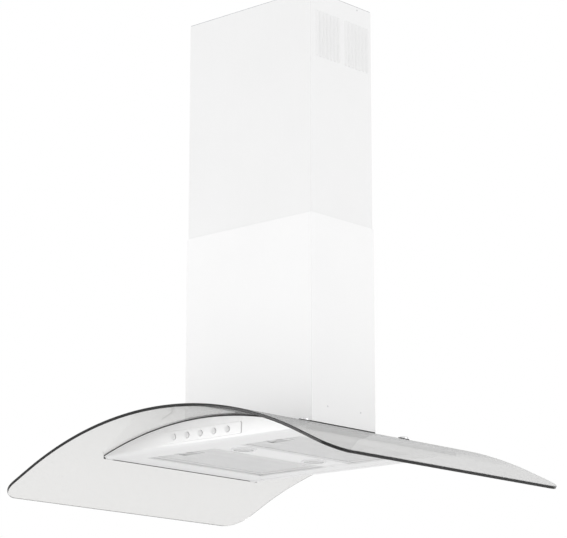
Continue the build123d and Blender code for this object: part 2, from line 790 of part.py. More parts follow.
def lug_places():
    reach = scroll_r + scroll_wall + bolt_head_r + 0.5
    lugs = [(-scroll_growth + reach * cos(radians(a)), shaft_z + reach * sin(radians(a)))
            for a in (40, -30, -150)]
    return lugs


def housing_screws():
    shapes = []
    for x, z in lug_places():
        head = rod_y(bolt_head_r, x, -lug_length - bolt_head, -lug_length, z)
        shapes.append(head + rod_y(frame_screw_r, x, -lug_length, lug_length, z))
    return group(shapes)


foot_inset = 22.0             # scroll's side wall in to its feet
foot_width = 18.0
foot_rise = 12.0              # shaft up to the tops of the feet
foot_reach = 40.0             # arm of each foot, in towards the scroll


def blower_feet():
    """Four formed brackets that carry the scroll on the blower plate."""
    feet = []
    y = scroll_width / 2
    z1 = shaft_z + foot_rise
    for sy in (-1, 1):
        for sx in (-1, 1):
            x0 = sx * throat_width / 2
            x1 = x0 + sx * foot_width
            y0, y1 = sy * (y - foot_inset), sy * (y - foot_inset + hanger_sheet)
            web = block(x0, x1, y0, y1, plate_top, z1)
            web += block(x0 - sx * foot_reach, x1, y0, y1, shaft_z - foot_reach, z1)
            web += block(x0, x1, y0, sy * (y - 6), plate_top, plate_top + hanger_sheet)
            feet.append(web - scroll_form(0, -y, y, neck_top))
    return group(feet)


ring_thick = 2.5
disc_half = 1.0
blade_lean = 28.0
hub_r = 12.0


def impeller():
    """Middle disc with its hub, and an end ring on each side, of the double-inlet wheel."""
    half = impeller_width / 2
    disc = rod_y(impeller_r, 0, -disc_half, disc_half, shaft_z)
    disc += rod_y(hub_r, 0, hub_y0, hub_y1, shaft_z)
    disc -= rod_y(shaft_r, 0, hub_y0, hub_y1, shaft_z)
    rings = []
    for sy in (-1, 1):
        ring = rod_y(impeller_r, 0, sy * (half - ring_thick), sy * half, shaft_z)
        rings.append(ring - rod_y(impeller_r - blade_depth, 0, sy * (half - ring_thick), sy * half, shaft_z))
    return group([disc, *rings])


def impeller_blades():
    """Forward-leaning blades from the middle disc out to each end ring."""
    r0 = impeller_r - blade_depth
    y0, y1 = disc_half, impeller_width / 2 - ring_thick
    blade = block(r0 + 0.4, impeller_r, y0, y1, -blade_thick / 2, blade_thick / 2)
    lean = Pos(r0, 0, 0) * Rot(0, blade_lean, 0) * Pos(-r0, 0, 0)
    blade = lean * blade & rod_y(impeller_r - 0.4, 0, y0, y1, 0)
    blades = []
    for i in range(blade_count):
        spun = Pos(0, 0, shaft_z) * Rot(0, i * 360 / blade_count, 0) * blade
        blades += [spun, mirror(spun, Plane.XZ)]
    return group(blades)


def motor_shaft():
    return rod_y(shaft_r, 0, hub_y0, motor_y1 - bore_end, shaft_z)


def motor():
    """Closed motor with end bells, in the wheel's rear half."""
    body = rod_y(motor_r, 0, motor_y0, motor_y1, shaft_z)
    body = fillet(body.edges().filter_by(GeomType.CIRCLE), 5)
    g0, g1 = motor_y0 + 18, motor_y0 + 22
    groove = rod_y(motor_r, 0, g0, g1, shaft_z) - rod_y(motor_r - 2, 0, g0, g1, shaft_z)
    bore = rod_y(shaft_r + run_clear, 0, motor_y0, motor_y1 - bore_end + run_clear, shaft_z)
    return body - groove - bore


def motor_bracket():
    """Ring on the rear inlet with three arms to the motor."""
    y0 = scroll_width / 2 + 4
    ring = rod_y(inlet_r + 3, 0, y0, y0 + 3, shaft_z) - rod_y(inlet_r - 4, 0, y0, y0 + 3, shaft_z)
    hub = rod_y(motor_r - 10, 0, motor_y1, y0 + 3, shaft_z)
    arms = []
    for i in range(3):
        arm = block(motor_r - 12, inlet_r, y0, y0 + 3, -5, 5)
        arms.append(Pos(0, 0, shaft_z) * Rot(0, 90 + 120 * i, 0) * arm)
    return ring + hub + arms


def duct_adaptor():
    """Loft from the scroll's neck to the round collar."""
    shapes = []
    for inset in (0, scroll_wall):
        low = Pos(collar_x, 0, neck_top) * RectangleRounded(
            2 * collar_r - 2 * inset, scroll_width - 2 * inset, 12 - inset)
        high = Pos(collar_x, 0, collar_z) * Circle(collar_r - inset * collar_wall / scroll_wall)
        shapes.append(loft([low, high], ruled=True))
    return shapes[0] - shapes[1]


def outlet_collar():
    z1 = collar_z + collar_height
    collar = rod_z(collar_r, collar_x, 0, collar_z, z1)
    collar -= rod_z(collar_r - collar_wall, collar_x, 0, collar_z, z1)
    stop = rod_z(collar_r - collar_wall, collar_x, 0, flap_z - 4.5, flap_z - 2.5)
    stop -= rod_z(collar_r - 6, collar_x, 0, flap_z - 4.5, flap_z - 2.5)
    return collar + stop - flap_pin()


flap_pin_r = 1.5
knuckle_r = 3.0
knuckle_pitch = 28.0
knuckle_width = 12.0


def flap_pin():
    reach = collar_r - collar_wall / 2
    return rod_y(flap_pin_r, collar_x, -reach, reach, flap_z)


def damper_flap(sx):
    """Half disc that hangs on the pin by two knuckles. The other half's knuckles fit between."""
    edge_gap = 1.0
    top = flap_z - 1.0
    disc = rod_z(collar_r - collar_wall - edge_gap, collar_x, 0, top - flap_thick, top)
    side = collar_x + sx * (knuckle_r + 0.6)
    disc &= block(side, side + sx * 2 * collar_r, -collar_r, collar_r, top - flap_thick, top)
    shift = sx * knuckle_pitch / 2
    for y in (shift - knuckle_pitch, shift + knuckle_pitch):
        y0, y1 = y - knuckle_width / 2, y + knuckle_width / 2
        knuckle = rod_y(knuckle_r, collar_x, y0, y1, flap_z)
        strap = block(collar_x + sx * 1.0, side + sx * 4, y0, y1, top - flap_thick, top)
        disc += knuckle + strap
        disc -= rod_y(flap_pin_r + run_clear, collar_x, y0, y1, flap_z)
    return disc


terminal_z1 = plate_top + lower_angle_length - tie_drop - hanger_sheet
terminal_x1 = inner_x - hanger_sheet - 1.0
gland_x = terminal_x1 - terminal_width / 2
gland_bore_r = 4.0
gland_stem = 2.0              # the gland's thread, through the box's top


def terminal_box():
    """Mains junction box under the frame tie."""
    z0 = terminal_z1 - terminal_height
    y = terminal_depth / 2
    x0 = terminal_x1 - terminal_width
    wall = gland_stem
    box = block(x0, terminal_x1, -y, y, z0, terminal_z1)
    box -= block(x0 + wall, terminal_x1 - wall, -y + wall, y - wall, z0 + wall, terminal_z1 - wall)
    return box - rod_z(gland_r - 2, gland_x, 0, terminal_z1 - wall, terminal_z1)


def cable_gland():
    """Screwed gland for the supply lead that comes down from the ceiling."""
    flange_top = terminal_z1 + 4
    gland = rod_z(gland_r, gland_x, 0, terminal_z1, flange_top)
    nut = Pos(gland_x, 0, flange_top) * extrude(RegularPolygon(gland_r - 0.5, 6), amount=7)
    gland += nut + rod_z(gland_r - 2, gland_x, 0, terminal_z1 - gland_stem, terminal_z1)
    return gland - rod_z(gland_bore_r, gland_x, 0, terminal_z1 - gland_stem, flange_top + 7)


# ---- write every piece ----
save("ceiling_plate", ceiling_plate())
for side, sx in (("left", -1), ("right", 1)):
    save("upper_angles_" + side, group([upper_angle(sx, sy) for sy in (-1, 1)]))
    save("lower_angles_" + side, group([lower_angle(sx, sy) for sy in (-1, 1)]))
save("hanger_bolts", group([plate_bolt(x, y, 0, -2 * hanger_sheet) for x, y in bolt_places(hanger_x, hanger_y)]))
foot_bolts = [plate_bolt(x, y, plate_z, plate_top + hanger_sheet) for x, y in bolt_places(inner_x, inner_y)]
save("frame_screws", group([frame_screws(), housing_screws(), *foot_bolts]))
save("frame_tie", frame_tie())
save("upper_cover", upper_cover())
save("upper_cover_screws", side_screws(cover_x, hanger_x - 2, cover_screw_y, -cover_screw_drop))
save("lower_cover", lower_cover())
save("lower_cover_screws", side_screws(lower_x, lower_x - 6, cover_screw_y, plate_top + plate_flange / 2))
save("cover_trim", cover_trim())
save("blower_plate", blower_plate())
save("glass_canopy", glass_canopy())
save("throat_duct", throat_duct())
save("glass_seal", glass_seal())
fix_places = corners(glass_fix_x, glass_fix_y)
save("glass_washers", group(
    [washer(x, y, skin_top, glass_under) for x, y in fix_places]
    + [washer(x, y, glass_thick / 2, glass_thick / 2 + washer_high) for x, y in fix_places]))
save("glass_caps", group([glass_cap(x, y) for x, y in fix_places]))
save("glass_bolts", group([glass_bolt(x, y) for x, y in fix_places]))
save("top_skin", top_skin())
save("front_panel", front_panel())
save("rear_panel", lunette_panel(1))
save("body_frame", body_frame())
save("lamp_rail", lamp_rail())
for place, sy in (("front", -1), ("rear", 1)):
    save("lamp_ring_" + place, lamp_ring(sy * lamp_y))
    save("lamp_lens_" + place, lamp_lens(sy * lamp_y))
    save("lamp_can_" + place, lamp_can(sy * lamp_y))
    save("blower_housing_" + place, blower_housing(sy))
for side, sx in (("left", -1), ("right", 1)):
    save("filter_frame_" + side, filter_frame(sx))
    save("filter_mesh_" + side, filter_mesh(sx))
    save("filter_latch_" + side, filter_latch(sx))
    save("damper_flap_" + side, damper_flap(sx))
save("control_fascia", control_fascia())
for name, x in zip(button_names, button_x):
    save("button_" + name, control_button(x))
save("switch_board", switch_board())
save("control_box", control_box())
save("blower_feet", blower_feet())
save("impeller", impeller())
save("impeller_blades", impeller_blades())
save("motor_shaft", motor_shaft())
save("motor", motor())
save("motor_bracket", motor_bracket())
save("duct_adaptor", duct_adaptor())
save("outlet_collar", outlet_collar())
save("flap_pin", flap_pin())
save("terminal_box", terminal_box())
save("cable_gland", cable_gland())

print("glass rise", round(crest_mid - arch_z(half_w, 0), 1), "side edges at", round(arch_z(half_w, 0), 1))
print("collar top", round(collar_z + collar_height, 1), "filter face", round(filter_z, 1))
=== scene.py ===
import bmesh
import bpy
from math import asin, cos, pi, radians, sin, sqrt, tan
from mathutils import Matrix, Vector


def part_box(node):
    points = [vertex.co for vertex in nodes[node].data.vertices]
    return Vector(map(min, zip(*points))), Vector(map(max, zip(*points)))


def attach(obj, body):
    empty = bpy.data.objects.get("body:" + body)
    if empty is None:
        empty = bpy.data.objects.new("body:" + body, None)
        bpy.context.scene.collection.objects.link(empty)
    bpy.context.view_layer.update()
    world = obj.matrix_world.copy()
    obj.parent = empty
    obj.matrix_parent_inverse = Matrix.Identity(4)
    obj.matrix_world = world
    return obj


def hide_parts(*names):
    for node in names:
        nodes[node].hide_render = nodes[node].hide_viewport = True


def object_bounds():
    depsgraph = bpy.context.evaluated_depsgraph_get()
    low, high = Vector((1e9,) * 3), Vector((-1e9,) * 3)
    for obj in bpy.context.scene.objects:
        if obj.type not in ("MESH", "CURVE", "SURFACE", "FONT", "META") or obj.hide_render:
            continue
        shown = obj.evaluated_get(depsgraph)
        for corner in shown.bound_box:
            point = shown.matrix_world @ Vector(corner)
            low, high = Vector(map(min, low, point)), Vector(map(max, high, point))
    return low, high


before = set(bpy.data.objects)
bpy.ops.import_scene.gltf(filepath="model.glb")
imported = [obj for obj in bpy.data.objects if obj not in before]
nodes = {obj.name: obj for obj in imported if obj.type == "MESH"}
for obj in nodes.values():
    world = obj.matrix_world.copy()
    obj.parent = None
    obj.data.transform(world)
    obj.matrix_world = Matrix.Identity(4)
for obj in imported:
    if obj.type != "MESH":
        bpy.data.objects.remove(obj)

# %% [markdown]
# # A curved glass range hood, dressed for the camera
#
# The hood is already there as an exact model: the frame. It gives every piece its place and its
# size, in metres. This lesson adds what an exact model lacks. It gives each piece the finish of the
# real material, and it rebuilds the pieces whose beauty lies in their edges and their texture: the
# glass, the filter mesh, the screws and the lamps.

MM = 0.001
frame_box = [list(corner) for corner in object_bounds()]
print("frame box, metres:", frame_box, "with", len(nodes), "nodes")

# %% [markdown]
# ## Shader maths in plain Python
#
# A finish is a small program made of nodes. Wiring them one by one is slow to read, so one class
# wraps a socket and lets us write sums as sums: `0.3 + grain * 0.1`. Each operator adds one Math
# node. A second class holds one material and makes any other node in a single call: its type, its
# settings, then the values and links of its sockets.

# %% A socket that understands arithmetic
class Value:
    def __init__(self, finish, socket):
        self.finish, self.socket = finish, socket

    def maths(self, operation, *others):
        return self.finish.add("ShaderNodeMath", {"operation": operation}, [self, *others])

    def __add__(self, other):
        return self.maths("ADD", other)

    def __mul__(self, other):
        return self.maths("MULTIPLY", other)

    def __sub__(self, other):
        return self.maths("SUBTRACT", other)

    def __pow__(self, other):
        return self.maths("POWER", other)

    __radd__, __rmul__ = __add__, __mul__

    def above(self, limit):
        return self.maths("GREATER_THAN", limit)

    def high(self, other):
        return self.maths("MAXIMUM", other)

    def wave(self):
        return self.maths("SINE")

    def clamped(self):
        return self.maths("MAXIMUM", 0.0).maths("MINIMUM", 1.0)


# %% One finish: a material and the nodes in it
class Finish:
    def __init__(self, name):
        self.material = bpy.data.materials.new(name)
        self.material.use_nodes = True
        self.tree = self.material.node_tree
        self.shader = self.tree.nodes["Principled BSDF"]
        self.output = self.tree.nodes["Material Output"]

    def put(self, socket, value):
        if isinstance(value, Value):
            self.tree.links.new(value.socket, socket)
        elif isinstance(value, bpy.types.NodeSocket):
            self.tree.links.new(value, socket)
        elif socket.type == "RGBA" and len(value) == 3:
            socket.default_value = (*value, 1.0)
        else:
            socket.default_value = value

    def add(self, kind, settings=None, inputs=None, output=0):
        node = self.tree.nodes.new(kind)
        for name, value in (settings or {}).items():
            setattr(node, name, value)
        pairs = enumerate(inputs) if isinstance(inputs, list) else (inputs or {}).items()
        for key, value in pairs:
            self.put(node.inputs[key], value)
        return Value(self, node.outputs[output])

    def set(self, **sockets):
        for name, value in sockets.items():
            self.put(self.shader.inputs[name.replace("_", " ")], value)
        return self

    def place(self, stretch=(1, 1, 1)):
        """Object coordinates, stretched: a large number packs the pattern tighter along that axis."""
        here = self.add("ShaderNodeTexCoord", output="Object")
        return self.add("ShaderNodeMapping", inputs={"Vector": here, "Scale": stretch})

    def axes(self, stretch=(1, 1, 1)):
        split = self.add("ShaderNodeSeparateXYZ", inputs=[self.place(stretch)])
        return [Value(self, out) for out in split.socket.node.outputs]

    def noise(self, scale, stretch=(1, 1, 1), detail=3.0, roughness=0.5):
        return self.add("ShaderNodeTexNoise", inputs={
            "Vector": self.place(stretch), "Scale": scale, "Detail": detail, "Roughness": roughness})

    def blend(self, amount, first, second):
        node = self.add("ShaderNodeMix", {"data_type": "RGBA"}, output=2).socket.node
        for index, value in ((0, amount), (6, first), (7, second)):
            self.put(node.inputs[index], value)
        return Value(self, node.outputs[2])

    def bump(self, height, depth, strength=1.0):
        """Depth is in metres: how far the relief really stands out."""
        normal = self.add("ShaderNodeBump", inputs={
            "Height": height, "Distance": depth, "Strength": strength})
        return self.set(Normal=normal)


def grey(level, warm=0.0):
    return (level * (1 + warm), level, level * (1 - warm))


print("shader tools ready")

# %% [markdown]
# ## Coated steel for the chimney covers
#
# The covers are folded steel sheet with a very light satin coat. Up close the coat is not even: it
# has a faint orange-peel relief a few millimetres wide, and its gloss drifts a little over a hand's
# width. Both come from noise on object coordinates, so the pattern stays on the piece when it
# slides. A plain white would look like paper, because nothing in it would catch the light. The
# upper cover is painted a shade darker and the lower one lighter: painted shade and painted light
# for how the light falls along the chimney, so one recipe makes both from two greys.

# %% Satin coat
def satin_coat(name, low, high):
    f = Finish(name)
    peel = f.noise(420.0, detail=2.0)
    drift = f.noise(7.0, detail=4.0)
    brushed = f.noise(1.0, (900, 900, 14), detail=3.0, roughness=0.6)
    f.set(Base_Color=f.blend(drift * 0.6 + brushed * 0.4, grey(low), grey(high)),
          Roughness=0.30 + drift * 0.12 + brushed * 0.06, Metallic=0.15)
    f.bump(peel * 0.6 + brushed * 0.4, 0.00002)
    return f.material


# Painted shade and painted light: darker greys on the upper cover, lighter greys on the lower cover.
upper_satin_painted_shade = satin_coat("upper_satin_painted_shade", 0.87, 0.92)
lower_satin_painted_light = satin_coat("lower_satin_painted_light", 0.93, 0.975)

# %% [markdown]
# ## Brushed steel for the body
#
# The body under the glass is pale brushed steel. Brushing leaves thousands of fine parallel
# scratches, here along the width of the hood. A noise stretched a hundred times along one axis gives
# exactly that: long streaks. The streaks drive the roughness and a very shallow bump, and hardly
# the colour, because a scratch in clean metal has the same colour as the rest.

# %% Brushed steel
def brushed_steel(name, along, low, high, rough):
    f = Finish(name)
    stretch = tuple(9 if axis == along else 1000 for axis in range(3))
    streak = f.noise(1.0, stretch, detail=4.0, roughness=0.65)
    cloud = f.noise(5.0, detail=3.0)
    f.set(Base_Color=f.blend(streak * 0.55 + cloud * 0.45, grey(low), grey(high)),
          Roughness=rough + streak * 0.14 + cloud * 0.06, Metallic=0.55)
    f.bump(streak, 0.000015)
    return f.material


body_metal = brushed_steel("body_brushed", 0, 0.88, 0.96, 0.30)
rail_metal = brushed_steel("rail_brushed", 1, 0.90, 0.97, 0.30)

# %% [markdown]
# ## Galvanised steel for the hidden frame
#
# Angles, plates and brackets are cut from galvanised sheet. Zinc freezes in flat crystals, the
# spangle, each with its own tilt. A Voronoi texture gives every cell one random colour; one channel
# of it picks the grey and the gloss of that crystal.

# %% Galvanised sheet
def galvanised():
    f = Finish("galvanised")
    cells = f.add("ShaderNodeTexVoronoi", {"feature": "F1"}, {
        "Vector": f.place(), "Scale": 110.0, "Randomness": 1.0}, output="Color")
    tilt = f.add("ShaderNodeSeparateColor", inputs=[cells])
    stain = f.noise(12.0, detail=5.0)
    f.set(Base_Color=f.blend(tilt * 0.7 + stain * 0.3, (0.50, 0.51, 0.52), (0.70, 0.71, 0.72)),
          Roughness=0.34 + tilt * 0.2, Metallic=0.85)
    f.bump(tilt * 0.5 + stain * 0.5, 0.00002)
    return f.material


zinc = galvanised()

# %% [markdown]
# ## Plated screws and shafts
#
# Plated steel is brighter than zinc sheet, with tool marks that run round the part. On small parts
# a fine noise with some wear is enough.

# %% Bright plating
def plating():
    f = Finish("plating")
    marks = f.noise(900.0, detail=2.0)
    wear = f.noise(60.0, detail=4.0)
    f.set(Base_Color=f.blend(wear, (0.66, 0.66, 0.67), (0.80, 0.80, 0.80)),
          Roughness=0.18 + marks * 0.12 + wear * 0.10, Metallic=1.0)
    f.bump(marks, 0.00001)
    return f.material


plated = plating()

# %% [markdown]
# ## Polished chrome for the lamp rings
#
# Chrome is the simplest metal: nearly no colour of its own and very low roughness. It still needs
# variation, or it looks like a drawing. Light polishing swirls and a trace of kitchen haze do it.

# %% Chrome
def chrome():
    f = Finish("ring_chrome")
    haze = f.noise(35.0, detail=5.0)
    swirl = f.noise(260.0, detail=2.0)
    f.set(Base_Color=f.blend(haze, (0.74, 0.74, 0.75), (0.86, 0.86, 0.86)),
          Roughness=0.06 + haze * 0.08, Metallic=1.0)
    f.bump(swirl, 0.000004)
    return f.material


ring_chrome = chrome()

# %% [markdown]
# ## Rubber
#
# Seals and washers are black rubber. It is dark grey, not black, and it has a dry bloom: pale dust
# in patches. A fine grain in the bump breaks up the highlight.

# %% Seal rubber
def rubber():
    f = Finish("seal_rubber")
    bloom = f.noise(45.0, detail=6.0, roughness=0.6)
    grain = f.noise(1500.0, detail=1.0)
    f.set(Base_Color=f.blend(bloom ** 2.0, (0.022, 0.022, 0.023), (0.070, 0.070, 0.068)),
          Roughness=0.62 + bloom * 0.25)
    f.bump(grain, 0.00003)
    return f.material


seal_rubber = rubber()

# %% [markdown]
# ## Satin aluminium for the filters
#
# Filter frames are rolled aluminium channel, washed many times. The rolling direction shows as
# streaks along the frame's length, and the washing leaves soft pale clouds.

# %% Filter aluminium
def aluminium(name, low, high, rough, metal):
    f = Finish(name)
    rolled = f.noise(1.0, (700, 12, 700), detail=3.0)
    clouds = f.noise(22.0, detail=5.0, roughness=0.6)
    f.set(Base_Color=f.blend(rolled * 0.4 + clouds * 0.6, grey(low), grey(high)),
          Roughness=rough + clouds * 0.15, Metallic=metal)
    f.bump(rolled * 0.5 + clouds * 0.5, 0.00002)
    return f.material


filter_metal = aluminium("filter_aluminium", 0.76, 0.88, 0.36, 0.5)
strand_metal = aluminium("strand_aluminium", 0.87, 0.97, 0.42, 0.2)
lamp_metal = aluminium("lamp_aluminium", 0.40, 0.55, 0.45, 0.9)

# %% [markdown]
# ## Moulded plastics
#
# Plastic parts come out of a mould with a spark-eroded texture: a fine even grain, softer on light
# parts. One recipe makes them all, from two shades and a gloss.

# %% Moulded plastic
def moulded(name, dark, light, rough, grain_size=700.0, depth=0.00003):
    f = Finish(name)
    grain = f.noise(grain_size, detail=2.0)
    cloud = f.noise(14.0, detail=4.0)
    f.set(Base_Color=f.blend(cloud * 0.7 + grain * 0.3, dark, light),
          Roughness=rough + grain * 0.14)
    f.bump(grain, depth)
    return f.material


blower_black = moulded("blower_plastic", (0.030, 0.030, 0.032), (0.060, 0.060, 0.064), 0.42)
box_grey = moulded("box_plastic", (0.34, 0.35, 0.36), (0.42, 0.43, 0.44), 0.45)
button_satin = moulded("button_satin", grey(0.89), grey(0.95), 0.26, 900.0, 0.00001)
latch_plastic = moulded("latch_plastic", grey(0.66), grey(0.74), 0.40)

# %% [markdown]
# ## Motor paint and the circuit board
#
# The motor shell is dark paint on steel, with chips where the metal shines through: a high
# threshold on a noise gives the chips, and they switch Metallic on. The board is green lacquer over
# copper tracks; a grid of stepped waves draws the tracks.

# %% Motor paint
def motor_paint():
    f = Finish("motor_paint")
    chips = f.noise(90.0, detail=6.0, roughness=0.7).above(0.68)
    peel = f.noise(500.0, detail=2.0)
    f.set(Base_Color=f.blend(chips, (0.06, 0.065, 0.07), (0.55, 0.55, 0.55)),
          Roughness=0.38 + peel * 0.1, Metallic=chips * 0.9)
    f.bump(peel - chips * 0.5, 0.00003)
    return f.material


motor_dark = motor_paint()


# %% Circuit board
def board_lacquer():
    f = Finish("board_lacquer")
    x, y, z = f.axes()
    bend = f.noise(60.0, detail=0.0) * 6.0
    tracks = ((x * 1700.0 + bend).wave().above(0.55)).high((z * 2300.0 + bend).wave().above(0.7))
    f.set(Base_Color=f.blend(tracks, (0.010, 0.085, 0.035), (0.035, 0.20, 0.08)),
          Roughness=0.25 + f.noise(40.0) * 0.15)
    f.bump(tracks, 0.00004)
    return f.material


board_green = board_lacquer()
print(len(bpy.data.materials), "finishes so far")

# %% [markdown]
# ## Clear glass, with painted shade on its front edge
#
# The canopy is one bent sheet of clear tempered glass, 6 mm thick. Seen through its faces it is
# nearly colourless. Seen into its edge it is almost black, because light that enters there travels
# along the inside of the sheet and is absorbed on the way. Real refraction does most of this by
# itself: the shader is clear, and the inside of the solid absorbs a little light per metre. The
# front edge, ground and polished to a soft round, gets a darker tint of the same recipe. That is
# painted shade: a shaded copy of the glass on the front edge only, while the other edges stay clear.
#
# Looking along the sheet instead of through it gets painted shade as well. The tint is painted
# darker towards grazing, on top of the real absorption; and right at the silhouette a near-black
# surface is mixed in, a painted dark silhouette line. A facing weight drives both: a high power of
# it keeps them close to the silhouette.

# %% Tinted clear glass
ABSORBED_COLOUR = (0.36, 0.355, 0.325, 1.0)
ABSORBED_PER_METRE = 32.0
PAINTED_GRAZING_SHADE_POWER, PAINTED_SILHOUETTE_POWER = 8.0, 12.0


def canopy_glass(name, tint):
    f = Finish(name)
    smear = f.noise(4.0, detail=5.0, roughness=0.6)
    edge_on = f.add("ShaderNodeLayerWeight", inputs={"Blend": 0.5}, output="Facing")
    # Painted shade: the tint is darkened towards grazing.
    f.set(Base_Color=f.blend(edge_on ** PAINTED_GRAZING_SHADE_POWER, grey(tint, 0.004), grey(tint * 0.20)),
          Roughness=0.004 + (smear - 0.55).clamped() * 0.04, IOR=1.5, Transmission_Weight=1.0)
    # Painted shade: a near-black surface mixed in at the silhouette, a painted dark line.
    painted_silhouette_shade = f.add("ShaderNodeBsdfPrincipled", inputs={
        "Base Color": grey(0.03), "Roughness": 0.3})
    layered = f.add("ShaderNodeMixShader", inputs=[
        edge_on ** PAINTED_SILHOUETTE_POWER, f.shader.outputs[0], painted_silhouette_shade])
    f.put(f.output.inputs["Surface"], layered)
    absorb = f.add("ShaderNodeVolumeAbsorption", inputs={
        "Color": ABSORBED_COLOUR, "Density": ABSORBED_PER_METRE})
    f.put(f.output.inputs["Volume"], absorb)
    return f.material


clear_glass = canopy_glass("clear_glass", 0.965)
# Painted shade: a darker copy of the glass, for the front edge only.
rim_glass_painted_shade = canopy_glass("rim_glass_painted_shade", 0.22)

# %% [markdown]
# ## Frosted lamp lens
#
# The lens is pressed glass with a frosted inside. Rings in the glass spread the light; they are
# drawn as a wave of the distance from the lamp's own axis. The lens lets light through but hides
# what is behind it.

# %% Frosted lens
def frosted_lens(name, centre):
    f = Finish(name)
    x, y, z = f.axes()
    away = ((x - centre[0]) ** 2.0 + (y - centre[1]) ** 2.0) ** 0.5
    rings = (away * 2200.0).wave()
    frost = f.noise(1200.0, detail=2.0)
    f.set(Base_Color=f.blend(frost, grey(0.80), grey(0.92)), Roughness=0.35 + frost * 0.2,
          IOR=1.48, Transmission_Weight=0.25)
    f.bump(rings * 0.8 + frost * 0.2, 0.00012)
    return f.material


# %% Put the finishes on the frame's own nodes
def dress(material, *names):
    for name in names:
        slots = nodes[name].material_slots
        for slot in slots:
            slot.material = material


def both(stem, ends=("left", "right")):
    return [stem + "_" + end for end in ends]


rows = ("front", "rear")
dress(upper_satin_painted_shade, "upper_cover")
dress(lower_satin_painted_light, "lower_cover")
dress(body_metal, "front_panel", "rear_panel", "body_frame", "top_skin", "control_fascia")
dress(rail_metal, "lamp_rail")
dress(zinc, "ceiling_plate", "frame_tie", "blower_plate", "blower_feet", "motor_bracket",
      "throat_duct", *both("upper_angles"), *both("lower_angles"))
dress(plated, "hanger_bolts", "frame_screws", "glass_bolts", "glass_caps", "flap_pin",
      "motor_shaft", "upper_cover_screws", "lower_cover_screws")
dress(seal_rubber, "cover_trim", "glass_seal", "glass_washers")
dress(filter_metal, *both("filter_frame"))
dress(strand_metal, *both("filter_mesh"))
dress(latch_plastic, *both("filter_latch"))
dress(ring_chrome, *both("lamp_ring", rows))
dress(lamp_metal, *both("lamp_can", rows))
dress(button_satin, *[name for name in nodes if name.startswith("button_")])
dress(blower_black, "impeller", "impeller_blades", "duct_adaptor", "outlet_collar",
      *both("blower_housing", rows), *both("damper_flap"))
dress(motor_dark, "motor")
dress(board_green, "switch_board")
dress(box_grey, "control_box", "terminal_box", "cable_gland")
for name in both("lamp_lens", rows):
    low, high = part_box(name)
    middle = [(a + b) / 2 for a, b in zip(low, high)]
    dress(frosted_lens(name + "_frost", middle), name)
print("dressed", len(nodes), "nodes")

# %% [markdown]
# ## Turning a bmesh into a piece
#
# Every new piece ends the same way: its normals are made to point outwards, it becomes an object at
# the origin, it gets its finish, and it is told which body it rides on; the exact pieces it stands
# for are hidden.

# %% From bmesh to piece
def piece(name, shape, materials, body, stands_for=(), smooth_angle=30.0):
    bmesh.ops.remove_doubles(shape, verts=shape.verts[:], dist=1e-6)
    bmesh.ops.recalc_face_normals(shape, faces=shape.faces[:])
    mesh = bpy.data.meshes.new(name)
    shape.to_mesh(mesh)
    shape.free()
    for material in materials:
        mesh.materials.append(material)
    mesh.set_sharp_from_angle(angle=radians(smooth_angle))
    thing = bpy.data.objects.new(name, mesh)
    bpy.context.scene.collection.objects.link(thing)
    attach(thing, body)
    if stands_for:
        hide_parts(*stands_for)
    print(name, len(mesh.polygons), "faces")
    return thing


# %% [markdown]
# ## The bent canopy
#
# The sheet is a flat rectangle with rounded corners that has been bent over a mould: an arc in the
# middle and a straight margin at each side. So it is made the same way here. A fine flat grid is
# cut to the outline, given its thickness, its rim is rounded with a bevel, and then each
# point is carried onto the bend. Bending last keeps the thickness even, because every point moves
# along the line that stands square on the mould.

# %% The mould's curve
glass_high = Vector(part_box("glass_canopy")[1])
GLASS_THICK = 6 * MM
BEND_RADIUS = 820 * MM
FLAT_MARGIN = 90 * MM
CORNER_RADIUS = 45 * MM
RIM_ROUND = 1.2 * MM
BEND_SLICES = 84
half_width, half_depth = glass_high.x, glass_high.y
crest = glass_high.z - GLASS_THICK / 2
bend_angle = asin((half_width - FLAT_MARGIN) / BEND_RADIUS)


def bent(x, y, up):
    """Where a point of the flat sheet goes: x is its place in plan, up its height over the middle."""
    side = 1 if x >= 0 else -1
    reach = BEND_RADIUS * sin(bend_angle)
    if abs(x) <= reach:
        lean = asin(abs(x) / BEND_RADIUS)
        z = crest - BEND_RADIUS * (1 - cos(lean))
    else:
        lean = bend_angle
        z = crest - BEND_RADIUS * (1 - cos(lean)) - (abs(x) - reach) * tan(lean)
    return Vector((x + side * up * sin(lean), y, z + up * cos(lean)))


print("the mould falls", round((crest - bent(half_width, 0, 0).z) * 1000, 1), "mm to the sides")


# %% The flat blank, cut to its outline
def rounded_rectangle(shape, x_half, y_half, radius, z, segments, centre=(0, 0)):
    """One face with rounded corners, from a plane whose upright corners are bevelled."""
    made = bmesh.ops.create_grid(shape, x_segments=1, y_segments=1, size=1.0)
    corner_points = made["verts"]
    bmesh.ops.scale(shape, vec=(x_half, y_half, 1), verts=corner_points)
    bmesh.ops.translate(shape, vec=(*centre, z), verts=corner_points)
    bmesh.ops.bevel(shape, geom=corner_points, offset=radius, segments=segments, profile=0.5,
                    affect="VERTICES", material=-1)


def glass_blank():
    """A little narrower than the bent sheet, whose upper edge leans out past the middle."""
    shape = bmesh.new()
    lean_out = GLASS_THICK / 2 * sin(bend_angle)
    rounded_rectangle(shape, half_width - lean_out, half_depth, CORNER_RADIUS, 0, 10)
    return shape


# %% Slices across the bend, so that it can curve
def sliced(shape, xs):
    """Cuts every face along upright planes at these x. The bend needs edges to fold at."""
    for x in xs:
        bmesh.ops.bisect_plane(shape, geom=shape.verts[:] + shape.edges[:] + shape.faces[:],
                               plane_co=(x, 0, 0), plane_no=(1, 0, 0), dist=1e-6)


